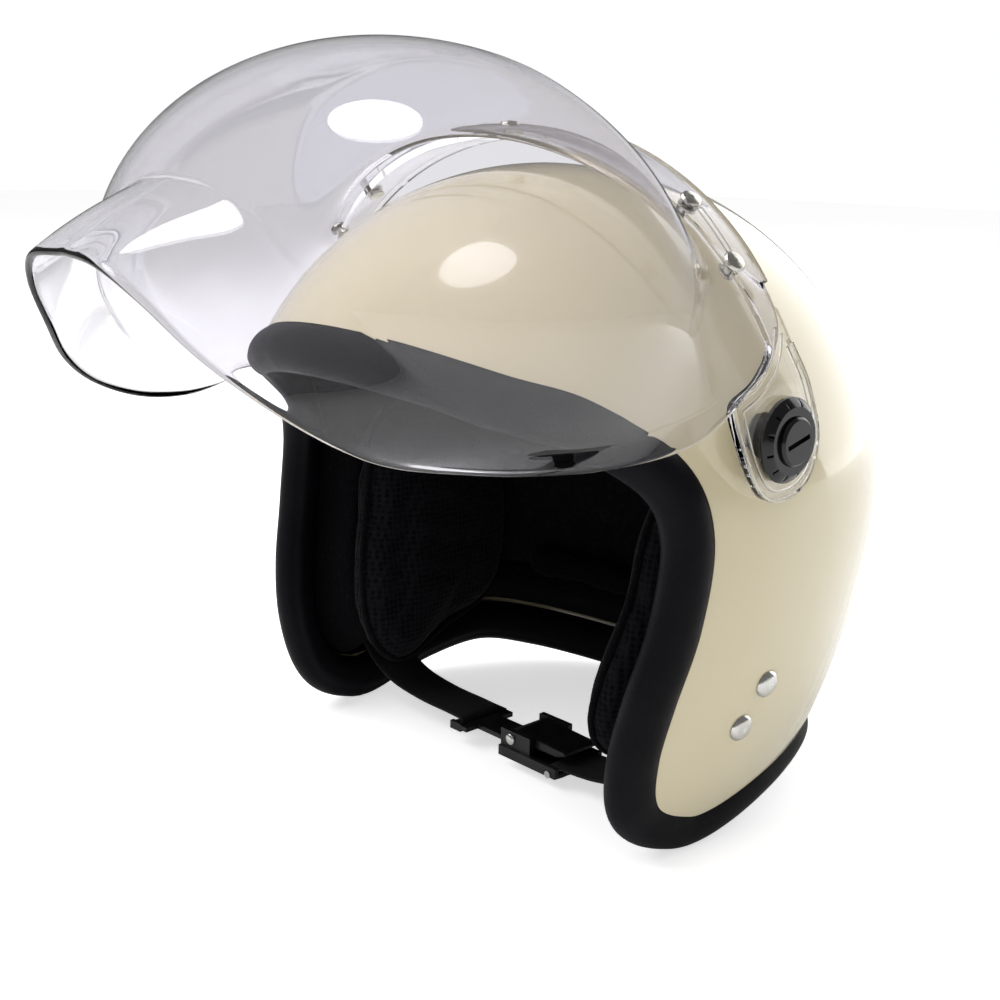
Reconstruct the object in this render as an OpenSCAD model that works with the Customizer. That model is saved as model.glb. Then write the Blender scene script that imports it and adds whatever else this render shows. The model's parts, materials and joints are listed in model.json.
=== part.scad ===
// Open face motorcycle helmet with a raised clear bubble visor.
// Row frame: Z up, rests on Z = 0, face towards -Y, the wearer's left side towards +X.
// The shell frame has its origin at the shell's widest level; worn() tips it back onto the
// cheek ends and the nape.

/* [Shell] */
// half width of the shell at its widest level
shell_hw = 123.4; // [116:0.1:130]
// half length of the shell at its widest level
shell_hl = 136.4; // [126:0.1:146]
// height of the crown above the widest level
shell_up = 124.8; // [115:0.1:134]
// lower half axis, which sets how the sides draw in below the widest level
shell_dn = 205; // [160:1:260]
// wall thickness of the moulded shell
shell_t = 4; // [3:0.1:5]
// angle the helmet tips back when it stands
stand_pitch = 13.3; // [0:0.1:20]
// height of the widest level's centre above the surface
stand_z = 119.25; // [100:0.05:140]
// shift along Y that centres the whole part
stand_y = 39; // [0:0.1:60]

/* [Edge trim] */
// visible width of the rolled edge trim
trim_w = 18.9; // [14:0.1:24]
// half depth of the rolled edge trim
trim_h = 7.7; // [5:0.1:10]
// how far the trim stands out of the shell
trim_out = 3; // [1:0.1:5]
// how far the trim reaches over the shell's edge
trim_grip = 1.5; // [0:0.1:4]

/* [Liner] */
// half width of the head space in the foam liner
liner_hw = 94; // [86:0.5:100]
// half length of the head space in the foam liner
liner_hl = 105; // [96:0.5:112]
// height of the head space above the widest level
liner_up = 92; // [80:0.5:100]
// lower half axis of the head space
liner_dn = 165; // [140:1:200]
// thickness of the crown's comfort liner
comfort_t = 7; // [4:0.5:12]
// thickness of the brow pad
brow_t = 11; // [6:0.5:16]
// thickness of the cheek pads
cheek_t = 25; // [15:0.5:32]
// thickness of the neck roll
neck_t = 14; // [8:0.5:20]
// clearance between the soft parts and their neighbours
soft_gap = 1.3; // [0.1:0.1:2]

/* [Visor] */
// visor pivot, along the shell frame's Y
hinge_y = -31; // [-40:0.5:0]
// visor pivot, above the widest level
hinge_z = 31; // [15:0.1:45]
// radius of the arch frame about the pivot line
frame_r = 97.3; // [94:0.1:106]
// half width that the arch frame's curve heads for at the pivot line
frame_hw = 126; // [122:0.1:130]
// half width at which the frame's arms level off beside the pivot
arm_level = 123; // [121:0.1:126]
// thickness of the arch frame
frame_t = 2.6; // [2:0.1:4]
// thickness of the visor lens
lens_t = 2.4; // [1.6:0.1:3]
// centre of the bubble, Y
bubble_y = -104.8; // [-120:0.1:-90]
// centre of the bubble, Z
bubble_z = 55.1; // [40:0.1:70]
// half width of the bubble
bubble_hw = 121.5; // [110:0.1:130]
// half length of the bubble
bubble_hl = 95.9; // [80:0.1:110]
// half height of the bubble
bubble_hh = 85.7; // [70:0.1:100]
// radius of the round side knobs
knob_r = 14.6; // [12:0.1:18]

/* [Chin strap] */
// width of the webbing
web_w = 22; // [18:0.5:26]
// thickness of the webbing
web_t = 1.8; // [1.2:0.1:2.5]
// centre of the chin strap along the row's Y
strap_y = 18; // [-5:0.5:22]

/* [Hidden] */
$fn = 96;
tiny = 0.05;
big = 400;
hinge_gap = 0.3;

function sq(v) = v * v;
function lerp(a, b, t) = a + (b - a) * t;
function unit(v) = v / norm(v);
function clamp01(t) = min(1, max(0, t));

// side outline of the opening and lower edge, from the brow's middle to the nape's middle
brow_start = 39.7;
nape_end = -80;
edge_pts = [
    [-shell_hl * sqrt(1 - sq(brow_start / shell_up)), brow_start],
    [-108, 34.6], [-87.1, 31.3], [-59.4, 17.5], [-45.2, -4.8], [-40.6, -37], [-40.1, -65.5],
    [-36.7, -87.5], [-27.4, -104.6], [-11, -109.3], [2.2, -106.9], [31.8, -92.2],
    [63.1, -79.5], [90.3, -77.7], [shell_hl * sqrt(1 - sq(nape_end / shell_dn)), nape_end]];

// visor rim on the left half, from the lip's middle to the corner beside the pivot
rim_pts = [
    [0, -229, 45.4], [19.9, -229, 43.3], [34.9, -221.3, 35.5], [47.9, -206.8, 22.9],
    [64.3, -190.7, 12.2], [75, -173.8, 5.3], [77.2, -155.7, 2.2], [82.3, -136.8, 3],
    [94.1, -115.4, 6.2], [109, -91.1, 13.6], [120.5, -68.4, 26.7], [126.6, -50.5, 51]];

// smooth curve through points, u from 0 to the last index
function knot(p, i) = i < 0 ? 2 * p[0] - p[1]
    : i >= len(p) ? 2 * p[len(p) - 1] - p[len(p) - 2] : p[i];
function spline_at(p, i, t) = 0.5 * (
    2 * knot(p, i) + (knot(p, i + 1) - knot(p, i - 1)) * t
    + (2 * knot(p, i - 1) - 5 * knot(p, i) + 4 * knot(p, i + 1) - knot(p, i + 2)) * t * t
    + (3 * knot(p, i) - knot(p, i - 1) - 3 * knot(p, i + 1) + knot(p, i + 2)) * t * t * t);
function spline(p, u) = let(i = min(len(p) - 2, floor(u))) spline_at(p, i, u - i);

// side outline at a share s of the way round, closer spaced at both ends
function edge_u(s) = (1 - cos(180 * s)) / 2 * (len(edge_pts) - 1);
function edge_yz(s) = spline(edge_pts, edge_u(s));

// shell surface
function shell_c(z) = z > 0 ? shell_up : shell_dn;
function shell_x(y, z) = shell_hw
    * sqrt(max(0, 1 - sq(y / shell_hl) - sq(z / shell_c(z))));
function shell_n(p) = unit([p[0] / sq(shell_hw), p[1] / sq(shell_hl), p[2] / sq(shell_c(p[2]))]);
// whole edge loop, s from -1 at the nape by the right side and the brow to 1 at the nape
function loop_at(s) = let(q = edge_yz(abs(s)))
    [sign(s) * shell_x(q[0], q[1]), q[0], q[1]];
function loop_wrap(s) = s > 1 ? s - 2 : s < -1 ? s + 2 : s;
function loop_dir(s) = unit(loop_at(loop_wrap(s + 0.004)) - loop_at(loop_wrap(s - 0.004)));

module worn() {
    translate([0, stand_y, stand_z]) rotate([-stand_pitch, 0, 0]) children();
}

module both_sides() {
    children();
    mirror([1, 0, 0]) children();
}

// outline in the shell frame's YZ plane, cut through the whole width
module side_cut(pts) {
    rotate([90, 0, 90]) linear_extrude(height = 2 * shell_hw + 40, center = true) polygon(pts);
}

// a point of the dome with half axes d = [half width, half length, up, down] in direction q
function on_dome(q, d) = [q[0] * d[0], q[1] * d[1], q[2] * (q[2] > 0 ? d[2] : d[3])];
function shell_dims(inset) = [shell_hw, shell_hl, shell_up, shell_dn] - inset * [1, 1, 1, 1];
function liner_dims(inset) = [liner_hw, liner_hl, liner_up, liner_dn] - inset * [1, 1, 1, 1];
// direction of the edge loop at s, moved in along the shell by d
function edge_dirn(s, d) = let(c = loop_at(s), n = shell_n(c), o = unit(cross(loop_dir(s), n)),
    p = c - o * d) unit([p[0] / shell_hw, p[1] / shell_hl, p[2] / shell_c(p[2])]);
function slerp(a, b, t) = let(w = acos(a * b))
    (sin((1 - t) * w) * a + sin(t * w) * b) / sin(w);
crown_dir = unit([0, 0.25, 1]);

// closed wall between two domes, open below the edge loop moved in by d
module dome_wall(outer, inner, d, stations, rings) {
    dirs = [for (k = [0 : stations - 1]) edge_dirn(-1 + 2 * k / stations, d)];
    grid = [for (w = [outer, inner], j = [1 : rings], k = [0 : stations - 1])
        on_dome(slerp(crown_dir, dirs[k], j / rings), w)];
    layer = stations * rings;
    poles = [2 * layer, 2 * layer + 1];
    function at(j, k, l) = l * layer + j * stations + k % stations;
    caps = [for (k = [0 : stations - 1]) each [
        [poles[0], at(0, k + 1, 0), at(0, k, 0)], [poles[1], at(0, k, 1), at(0, k + 1, 1)]]];
    skin = [for (l = [0, 1], j = [0 : rings - 2], k = [0 : stations - 1]) each let(
        a = at(j, k, l), b = at(j, k + 1, l), c = at(j + 1, k + 1, l), e = at(j + 1, k, l))
        l == 0 ? [[a, b, c], [a, c, e]] : [[a, c, b], [a, e, c]]];
    foot = [for (k = [0 : stations - 1]) each let(
        a = at(rings - 1, k, 0), b = at(rings - 1, k + 1, 0),
        c = at(rings - 1, k + 1, 1), e = at(rings - 1, k, 1)) [[a, b, c], [a, c, e]]];
    polyhedron(points = concat(grid, [on_dome(crown_dir, outer), on_dome(crown_dir, inner)]),
        faces = concat(caps, skin, foot));
}

// bar along the edge loop from s0 to s1; its section is a list of [inset, share of the depth
// between the outer and the inner dome]; a whole loop has no ends
module loop_bar(s0, s1, section, outer, inner, stations) {
    m = len(section);
    ring = s1 - s0 > 1.999;
    n = ring ? stations : stations + 1;
    pts = [for (k = [0 : n - 1]) let(s = loop_wrap(lerp(s0, s1, k / stations))) each
        [for (q = section) on_dome(edge_dirn(s, q[0]), lerp(outer, inner, q[1]))]];
    walls = [for (k = [0 : (ring ? n : n - 1) - 1], j = [0 : m - 1]) each let(
        a = k * m + j, b = k * m + (j + 1) % m,
        c = (k + 1) % n * m + (j + 1) % m, e = (k + 1) % n * m + j) [[a, b, c], [a, c, e]]];
    ends = [for (j = [1 : m - 2]) each [[0, j + 1, j], [(n - 1) * m, (n - 1) * m + j,
        (n - 1) * m + j + 1]]];
    polyhedron(points = pts, faces = concat(walls, ring ? [] : ends));
}

module shell() {
    color([0.93, 0.88, 0.75]) worn() difference() {
        dome_wall(shell_dims(0), shell_dims(shell_t), 0, 84, 13);
        translate([0, hinge_y, hinge_z]) rotate([0, 90, 0])
            cylinder(h = big, r = bush_r + tiny, center = true);
        both_sides() strap_rivet_places()
            cylinder(h = 40, r = rivet_shank_r + tiny, center = true);
    }
}

module edge_trim() {
    stations = 104;
    sides = 12;
    rest = -stand_z;
    ring = [for (k = [0 : stations - 1]) let(
        s = -1 + 2 * k / stations,
        c = loop_at(s), n = shell_n(c), t = loop_dir(s), o = unit(cross(t, n)),
        mid = c + o * (trim_w / 2 - trim_grip) - n * (trim_h - trim_out))
        for (j = [0 : sides - 1]) let(a = 360 * j / sides)
            mid + o * cos(a) * trim_w / 2 + n * sin(a) * trim_h];
    faces = [for (k = [0 : stations - 1], j = [0 : sides - 1]) each let(
        a = k * sides + j, b = k * sides + (j + 1) % sides,
        c = (k + 1) % stations * sides + (j + 1) % sides, d = (k + 1) % stations * sides + j)
        [[a, b, c], [a, c, d]]];
    color([0.06, 0.06, 0.07]) difference() {
        worn() polyhedron(points = ring, faces = faces);
        translate([-big / 2, -big / 2, -big]) cube(big);
    }
}

// foam liner
foam_set_back = 15;
foam_gap = 0.8;
channel_y = [2.5, 34.5];
channel_z = [16, 84];
channel_x = 79;
pocket_r = 11.5;
pocket_x = 103;

module foam_liner() {
    color([0.12, 0.12, 0.13]) difference() {
        worn() difference() {
            dome_wall(shell_dims(shell_t + foam_gap), liner_dims(0), foam_set_back, 60, 10);
            both_sides() pivot() translate([0, 0, pocket_x])
                cylinder(h = 20, r = pocket_r);
        }
        strap_channels();
    }
}

// the way out that the chin strap takes on each side, in the row frame
module strap_channels(grow = 0) {
    both_sides() translate([channel_x, channel_y[0] - grow, channel_z[0] - grow])
        cube([60, channel_y[1] - channel_y[0] + 2 * grow, channel_z[1] - channel_z[0] + 2 * grow]);
}

// soft lining
lining_depth = 2 * trim_h - trim_out + soft_gap;
lining_in = [2.5, 13.5];
skin_gap = 0.45;
skin_t = 0.6;
brow_in = [4, 34];
brow_reach = 0.32;
neck_in = [4, 26];
neck_from = 0.8;

function round_section(d, r) = [
    [d[0] + r, 0], [d[1] - r, 0], [d[1], 0.25], [d[1], 0.75], [d[1] - r, 1], [d[0] + r, 1],
    [d[0], 0.75], [d[0], 0.25]];

module face_lining() {
    color([0.07, 0.07, 0.08]) difference() {
        worn() loop_bar(-1, 1, round_section(lining_in, 2), shell_dims(lining_depth),
            liner_dims(-1), 84);
        strap_channels();
    }
}

// cloth stuck to the shell where each strap channel leaves it bare
module channel_linings() {
    color([0.07, 0.07, 0.08]) difference() {
        intersection() {
            worn() dome_wall(shell_dims(shell_t + skin_gap), shell_dims(shell_t + skin_gap + skin_t),
                lining_in[0], 84, 13);
            strap_channels(-skin_gap);
        }
        worn() both_sides() on_anchor() cube([29, 17, 30], center = true);
    }
}

module brow_pad() {
    color([0.08, 0.08, 0.09]) worn()
        loop_bar(-brow_reach, brow_reach, round_section(brow_in, 5), liner_dims(soft_gap),
            liner_dims(brow_t), 44);
}

module neck_roll() {
    color([0.07, 0.07, 0.08]) worn()
        loop_bar(neck_from, 2 - neck_from, round_section(neck_in, 6), liner_dims(soft_gap),
            liner_dims(neck_t), 28);
}

cheek_pts = [[-31, 12], [-36, -10], [-35, -36], [-35, -62], [-31, -84], [-20, -97], [-4, -99],
    [20, -84], [40, -68], [47, -42], [42, -10], [24, 10], [-4, 17], [-31, 12]];
cheek_mid = [2, -40];

// share of the full thickness at a share t of the way from the rim to the middle
function crown_share(t) = pow(sin(90 * min(1, t / 0.45)), 0.6);

module cheek_pad() {
    n = 56;
    rings = [0, 0.06, 0.16, 0.32, 0.6];
    m = len(rings);
    ring = [for (k = [0 : n - 1]) spline(cheek_pts, k / n * (len(cheek_pts) - 1))];
    function spot(q, t, depth) = let(yz = lerp(q, cheek_mid, t), d = liner_dims(depth),
        c = yz[1] > 0 ? d[2] : d[3])
        [d[0] * sqrt(1 - sq(yz[0] / d[1]) - sq(yz[1] / c)), yz[0], yz[1]];
    face = [for (t = rings, q = ring)
        spot(q, t, lerp(soft_gap + 5, cheek_t, crown_share(t)))];
    back = [for (q = ring) spot(q, 0, soft_gap)];
    back2 = [for (q = ring) spot(q, 0.5, soft_gap)];
    tips = [spot(cheek_mid, 0, cheek_t), spot(cheek_mid, 0, soft_gap)];
    all = concat(back2, back, face, tips);
    total = m + 2;
    top = total * n;
    walls = [for (j = [0 : total - 2], k = [0 : n - 1]) each let(
        a = j * n + k, b = j * n + (k + 1) % n, c = (j + 1) * n + (k + 1) % n, e = (j + 1) * n + k)
        [[a, b, c], [a, c, e]]];
    fans = [for (k = [0 : n - 1]) each [
        [(total - 1) * n + k, (total - 1) * n + (k + 1) % n, top], [(k + 1) % n, k, top + 1]]];
    color([0.08, 0.08, 0.09]) worn() polyhedron(points = all, faces = concat(walls, fans));
}

module cheek_pad_left() {
    cheek_pad();
}

module cheek_pad_right() {
    mirror([1, 0, 0]) cheek_pad();
}

crown_z = 26;
crown_tilt = 33.7;
crown_lead = 14;

module half_dome(d) {
    scale([d[0], d[1], d[2]]) sphere(1);
}

module crown_liner() {
    color([0.1, 0.1, 0.11]) worn() intersection() {
        difference() {
            half_dome(liner_dims(soft_gap));
            half_dome(liner_dims(comfort_t));
        }
        translate([-big / 2, -big / 2, crown_z]) cube(big);
        rotate([-crown_tilt, 0, 0]) translate([-big / 2, -big / 2, crown_lead]) cube(big);
    }
}

// visor pivots
arm_soft = 0.8;
bush_r = 5;
screw_r = 3;
spacer_r = 8;
spacer_sink = 1;
seat_x = frame_x(0, 0) - hinge_gap;
knob_x = frame_x(0, frame_t) + hinge_gap;
knob_h = 4;
knob_bevel = 2;
knob_wall = 2.4;
knob_flat = 1;
notch_w = 0.8;
notch_l = 4;
notch_d = 1.4;
cap_r = 8.4;
cap_h = 1.8;
cap_sink = 2;
coin_w = 1.7;
coin_l = 12;
coin_d = 1.8;
coin_turn = 28;
tee_x = 105;
tee_h = 2.5;
tee_r = 9.5;

module pivot() {
    translate([0, hinge_y, hinge_z]) rotate([0, 90, 0]) children();
}

module on_pivots() {
    worn() both_sides() pivot() children();
}

module pivot_spacers() {
    foot = shell_x(hinge_y, hinge_z) - spacer_sink;
    color([0.1, 0.1, 0.1]) on_pivots() translate([0, 0, foot]) difference() {
        cylinder(h = seat_x - foot, r = spacer_r);
        translate([0, 0, -1]) cylinder(h = 40, r = bush_r + tiny);
    }
}

module pivot_bushes() {
    bush_from = tee_x + tee_h + tiny;
    color([0.6, 0.6, 0.62]) on_pivots() translate([0, 0, bush_from]) difference() {
        cylinder(h = knob_x - tiny - bush_from, r = bush_r);
        translate([0, 0, -1]) cylinder(h = 40, r = screw_r + tiny);
    }
}

module tee_nuts() {
    color([0.6, 0.6, 0.62]) on_pivots() translate([0, 0, tee_x]) difference() {
        cylinder(h = tee_h, r = tee_r);
        translate([0, 0, -1]) cylinder(h = 10, r = screw_r + tiny);
    }
}

module hinge_screws() {
    color([0.5, 0.5, 0.52]) on_pivots() translate([0, 0, tee_x - 2])
        cylinder(h = knob_x + knob_h - cap_sink - tiny - tee_x + 2, r = screw_r);
}

module knob_bases() {
    notches = 12;
    color([0.05, 0.05, 0.05]) on_pivots() translate([0, 0, knob_x]) difference() {
        rotate_extrude() polygon([[screw_r + tiny, 0], [knob_r, 0], [knob_r, knob_h - knob_wall],
            [knob_r - knob_bevel, knob_h - knob_flat / 2], [knob_r - knob_bevel - knob_flat, knob_h],
            [cap_r + 2 * tiny, knob_h], [cap_r + 2 * tiny, knob_h - cap_sink],
            [screw_r + tiny, knob_h - cap_sink]]);
        for (k = [0 : notches - 1]) rotate([0, 0, 360 / notches * k])
            translate([knob_r - notch_l + 1, -notch_w / 2, knob_h - notch_d])
                cube([notch_l, notch_w, knob_h]);
    }
}

module knob_caps() {
    color([0.05, 0.05, 0.05]) on_pivots() translate([0, 0, knob_x + knob_h - cap_sink])
        difference() {
            rotate_extrude() polygon([[0, 0], [cap_r, 0], [cap_r, cap_sink + cap_h - 0.8],
                [cap_r - 0.8, cap_sink + cap_h], [0, cap_sink + cap_h]]);
            rotate([0, 0, 90 + coin_turn])
                translate([-coin_l / 2, -coin_w / 2, cap_sink + cap_h - coin_d])
                    cube([coin_l, coin_w, coin_d + 1]);
        }
}

// visor
band_lo = 66.5;
band_hi = 79.5;
band_r = [30, 108];
arm_pts = [[-8.5, 43], [-11, 34], [-14, 25], [-20, 15.5], [-27.3, 8], [-26, 1.5], [-19.5, -8], [-11.5, -16],
    [-3, -20.8], [6, -20.7], [14, -17.3], [20, -10.5], [21, -2], [17.5, 8], [8, 20], [-1, 31],
    [-6, 42]];
flange_hi = 77.5;
flange_lo = [60.5, 74.5];
flange_span = 60;
flange_part = 0.12;
step_part = 0.2;
lip_from = 0.84;
lip_power = 1.25;
rivet_r = 2.2;
rivet_head_r = 4;
frame_rivets_at = [[0, 72.5], [41.5, 71], [-41.5, 71], [55.5, 67], [-55.5, 67]];
lens_gap = 0.35;
lens_mid = frame_t + lens_gap + lens_t / 2;
side_power = 4;
side_bow = 0.028;

// distance from the middle plane to the frame's surface at radius r from the pivot line
function frame_x(r, off) = let(
    curve = (frame_hw + off) * sqrt(max(0, 1 - sq(r / (frame_r + off)))), level = arm_level + off)
    (curve + level - sqrt(sq(curve - level) + sq(arm_soft))) / 2;
function polar(r, th) = [hinge_y - r * cos(th), hinge_z + r * sin(th)];
function about_hinge(off, ps, th) = let(q = polar((frame_r + off) * cos(ps), th))
    [(frame_hw + off) * sin(ps), q[0], q[1]];
function out_of_frame(off, ps, th) = unit([sin(ps) / (frame_hw + off),
    -cos(ps) * cos(th) / (frame_r + off), cos(ps) * sin(th) / (frame_r + off)]);
function to_bubble(p) = [p[0] / bubble_hw, (p[1] - bubble_y) / bubble_hl,
    (p[2] - bubble_z) / bubble_hh];
function from_bubble(q) = [q[0] * bubble_hw, q[1] * bubble_hl + bubble_y,
    q[2] * bubble_hh + bubble_z];
function ease(t) = let(c = clamp01(t)) c * c * (3 - 2 * c);
function rim_at(u) = let(q = spline(rim_pts, abs(u) * (len(rim_pts) - 1)))
    [sign(u) * q[0], q[1], q[2]];
function flange_end(u) = lerp(flange_lo[0], flange_lo[1], pow(abs(u), 8));
function bubble_pt(u, t) = let(
    g = to_bubble(about_hinge(lens_mid, flange_span * u, flange_end(u))),
    f = to_bubble(rim_at(u)),
    bulge = 1 + (norm(g) - 1) * (1 - ease(t / step_part))
        + (norm(f) - 1) * pow(clamp01((t - lip_from) / (1 - lip_from)), lip_power),
    side = lerp(norm(g), norm(f), t) + side_bow * sin(180 * t),
    m = lerp(bulge, side, pow(abs(u), side_power)))
    from_bubble(slerp(unit(g), unit(f), t) * m);
function lens_pt(u, s) = s < flange_part
    ? about_hinge(lens_mid, flange_span * u, lerp(flange_hi, flange_end(u), s / flange_part))
    : bubble_pt(u, (s - flange_part) / (1 - flange_part));
function lens_n(u, s) = let(e = 0.004)
    unit(cross(lens_pt(u, min(1, s + e)) - lens_pt(u, max(0, s - e)),
        lens_pt(min(1, u + e), s) - lens_pt(max(-1, u - e), s)));

module visor_lens() {
    nu = 44;
    ns = 17;
    row = ns + 1;
    layer = (nu + 1) * row;
    pts = [for (side = [0.5, -0.5], i = [0 : nu], j = [0 : ns]) let(
        u = -1 + 2 * i / nu, s = j / ns)
        lens_pt(u, s) + lens_n(u, s) * lens_t * side];
    function at(i, j, l) = l * layer + i * row + j;
    skin = [for (l = [0, 1], i = [0 : nu - 1], j = [0 : ns - 1]) each let(
        a = at(i, j, l), b = at(i + 1, j, l), c = at(i + 1, j + 1, l), d = at(i, j + 1, l))
        l == 0 ? [[a, b, c], [a, c, d]] : [[a, c, b], [a, d, c]]];
    ends = [for (j = [0, ns], i = [0 : nu - 1]) each let(
        a = at(i, j, 0), b = at(i + 1, j, 0), c = at(i + 1, j, 1), d = at(i, j, 1))
        j == 0 ? [[a, d, c], [a, c, b]] : [[a, b, c], [a, c, d]]];
    sides = [for (i = [0, nu], j = [0 : ns - 1]) each let(
        a = at(i, j, 0), b = at(i, j + 1, 0), c = at(i, j + 1, 1), d = at(i, j, 1))
        i == 0 ? [[a, b, c], [a, c, d]] : [[a, c, b], [a, d, c]]];
    color([0.8, 0.8, 0.86, 0.4]) worn()
        polyhedron(points = pts, faces = concat(skin, ends, sides));
}

// surface of revolution about the pivot line
module frame_skin() {
    steps = 40;
    function rim(off) = [for (k = [-steps : steps]) let(a = 90 * k / steps,
        r = max(0, (frame_r + off) * cos(a)))
        [r, sign(k) * frame_x(r, off)]];
    outer = rim(frame_t);
    inner = rim(0);
    translate([0, hinge_y, hinge_z]) rotate([0, 90, 0]) rotate_extrude()
        polygon(concat(outer, [for (k = [2 * steps : -1 : 0]) inner[k]]));
}

module visor_frame() {
    arm = [for (k = [0 : 60]) let(q = spline(arm_pts, k / 60 * (len(arm_pts) - 1)))
        [hinge_y + q[0], hinge_z + q[1]]];
    color([0.85, 0.85, 0.88, 0.4]) worn() difference() {
        intersection() {
            frame_skin();
            union() {
                side_cut([polar(band_r[0], band_lo), polar(band_r[1], band_lo),
                    polar(band_r[1], band_hi), polar(band_r[0], band_hi)]);
                side_cut(arm);
            }
        }
        translate([0, hinge_y, hinge_z]) rotate([0, 90, 0])
            cylinder(h = big, r = bush_r + 0.08, center = true);
    }
}

module along(n) {
    rotate([0, acos(n[2]), atan2(n[1], n[0])]) children();
}

module frame_rivets() {
    color([0.75, 0.75, 0.77]) worn() for (a = frame_rivets_at)
        translate(about_hinge(frame_t, a[0], a[1])) along(out_of_frame(frame_t, a[0], a[1]))
            rotate_extrude() polygon([[0, -frame_t - 1], [3.4, -frame_t - 1],
                [3.4, -frame_t - tiny], [rivet_r, -frame_t - tiny],
                [rivet_r, lens_t + 2 * tiny], [rivet_head_r, lens_t + 2 * tiny],
                [rivet_head_r - 0.6, lens_t + 1.2], [0, lens_t + 1.7]]);
}

// chin strap
rivet_shank_r = 2.2;
strap_rivet_head_r = 5.2;
strap_rivet_l = 13;
strap_rivets_at = [[-0.6, -55.4], [-5.6, -72.5]];
plate_t = 1.2;

module strap_rivet_places() {
    for (q = strap_rivets_at) let(p = [shell_x(q[0], q[1]), q[0], q[1]])
        translate(p) along(shell_n(p)) children();
}

module strap_rivets() {
    color([0.75, 0.75, 0.76]) worn() both_sides() strap_rivet_places()
        rotate_extrude() polygon([[0, -strap_rivet_l], [rivet_shank_r, -strap_rivet_l],
            [rivet_shank_r, 0.15], [strap_rivet_head_r, 0.15], [strap_rivet_head_r - 0.4, 1],
            [strap_rivet_head_r - 1.8, 1.9], [0, 2.4]]);
}

module on_anchor() {
    mid = (strap_rivets_at[0] + strap_rivets_at[1]) / 2;
    at = [shell_x(mid[0], mid[1]), mid[0], mid[1]];
    translate(at) along(shell_n(at)) children();
}

module anchor_plates() {
    color([0.6, 0.6, 0.62]) worn() both_sides() difference() {
        on_anchor() translate([-14, -8, -shell_t - 1.1 - plate_t]) cube([28, 16, plate_t]);
        strap_rivet_places() cylinder(h = 40, r = rivet_shank_r + tiny, center = true);
    }
}

// buckle, drawn about a point on the strap's middle line
buckle_x = 17.5;
bar_r = 1.5;
bar_x = 15;
tongue_bar_x = -42;
base_z = [4.8, 7.2];
base_x = [-14, 19];
wall_y = 9.8;
wall_t = 2.6;
wall_top = 16.5;
pin_x = -8;
pin_z = 13;
pin_r = 1.5;
tongue_w = 14;
tongue_z = [7.5, 9.5];
strap_fall = [[108.6, 76], [104.8, 57], [99.5, 41], [91.8, 29], [83.5, 20.5], [70, 14.2]];
web_sag = [4, -1];
web_lead = [8.4, 0.2];

// even points along a spline, and the outline of a strip of thickness t laid along points
function dense(p, n) = [for (k = [0 : n]) spline(p, k / n * (len(p) - 1))];
function beside(p, i, t) = let(d = unit(p[min(len(p) - 1, i + 1)] - p[max(0, i - 1)]))
    p[i] + [-d[1], d[0]] * t;
function strip(p, t) = concat([for (i = [0 : len(p) - 1]) beside(p, i, t / 2)],
    [for (i = [len(p) - 1 : -1 : 0]) beside(p, i, -t / 2)]);

// webbing from the anchor to a loop round a bar at [x, z]
module webbing(bar) {
    ring = bar_r + 0.2 + web_t / 2;
    top = bar + [0, ring];
    last = strap_fall[len(strap_fall) - 1];
    path = concat(strap_fall, [(top + last) / 2 + web_sag, top + web_lead, top]);
    loop = [for (a = [105 : 15 : 360]) bar + ring * [cos(a), sin(a)]];
    color([0.06, 0.06, 0.06]) translate([0, strap_y + web_w / 2, 0]) rotate([90, 0, 0])
        linear_extrude(height = web_w) polygon(strip(concat(dense(path, 40), loop), web_t));
}

module strap_left() {
    difference() {
        webbing([buckle_x + bar_x, bar_z]);
        strap_holes();
    }
}

module strap_right() {
    difference() {
        mirror([1, 0, 0]) webbing([-buckle_x - tongue_bar_x, tongue_bar_z]);
        strap_holes();
    }
}

bar_z = 6;
tongue_bar_z = 8.5;

module strap_holes() {
    worn() both_sides() strap_rivet_places()
        cylinder(h = 60, r = rivet_shank_r + tiny, center = true);
}

module across_strap(x, z, r, l) {
    translate([x, strap_y - l / 2, z]) rotate([-90, 0, 0]) cylinder(h = l, r = r);
}

module buckle_body() {
    half = wall_y + wall_t;
    color([0.05, 0.05, 0.05]) difference() {
        translate([buckle_x, strap_y, 0]) union() {
            translate([base_x[0], -half, base_z[0]])
                cube([bar_x - 4.5 - base_x[0], 2 * half, base_z[1] - base_z[0]]);
            for (s = [-1, 1]) {
                translate([base_x[0], s * (wall_y + wall_t / 2) - wall_t / 2, base_z[0]])
                    cube([17, wall_t, wall_top - base_z[0]]);
                translate([base_x[0], s * (web_w / 2 + 1.6) - 1.1, base_z[0]])
                    cube([base_x[1] - base_x[0], 2.2, 4.4]);
            }
        }
        across_strap(buckle_x + pin_x, pin_z, pin_r + tiny, 40);
        across_strap(buckle_x + bar_x, bar_z, bar_r + 0.02, 40);
    }
}

module buckle_bar() {
    color([0.8, 0.8, 0.82])
        across_strap(buckle_x + bar_x, bar_z, bar_r, web_w + 2 * 1.6 + 2.2 + 1);
}

module lever_pin() {
    half = wall_y + wall_t;
    color([0.85, 0.85, 0.86]) union() {
        across_strap(buckle_x + pin_x, pin_z, pin_r, 2 * half + 0.2);
        for (s = [-1, 1]) translate([buckle_x + pin_x, strap_y + s * (half + 0.1), pin_z])
            rotate([-90 * s, 0, 0]) rotate_extrude()
                polygon([[0, 0], [2.6, 0], [2.4, 0.7], [1.5, 1.2], [0, 1.4]]);
    }
}

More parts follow.
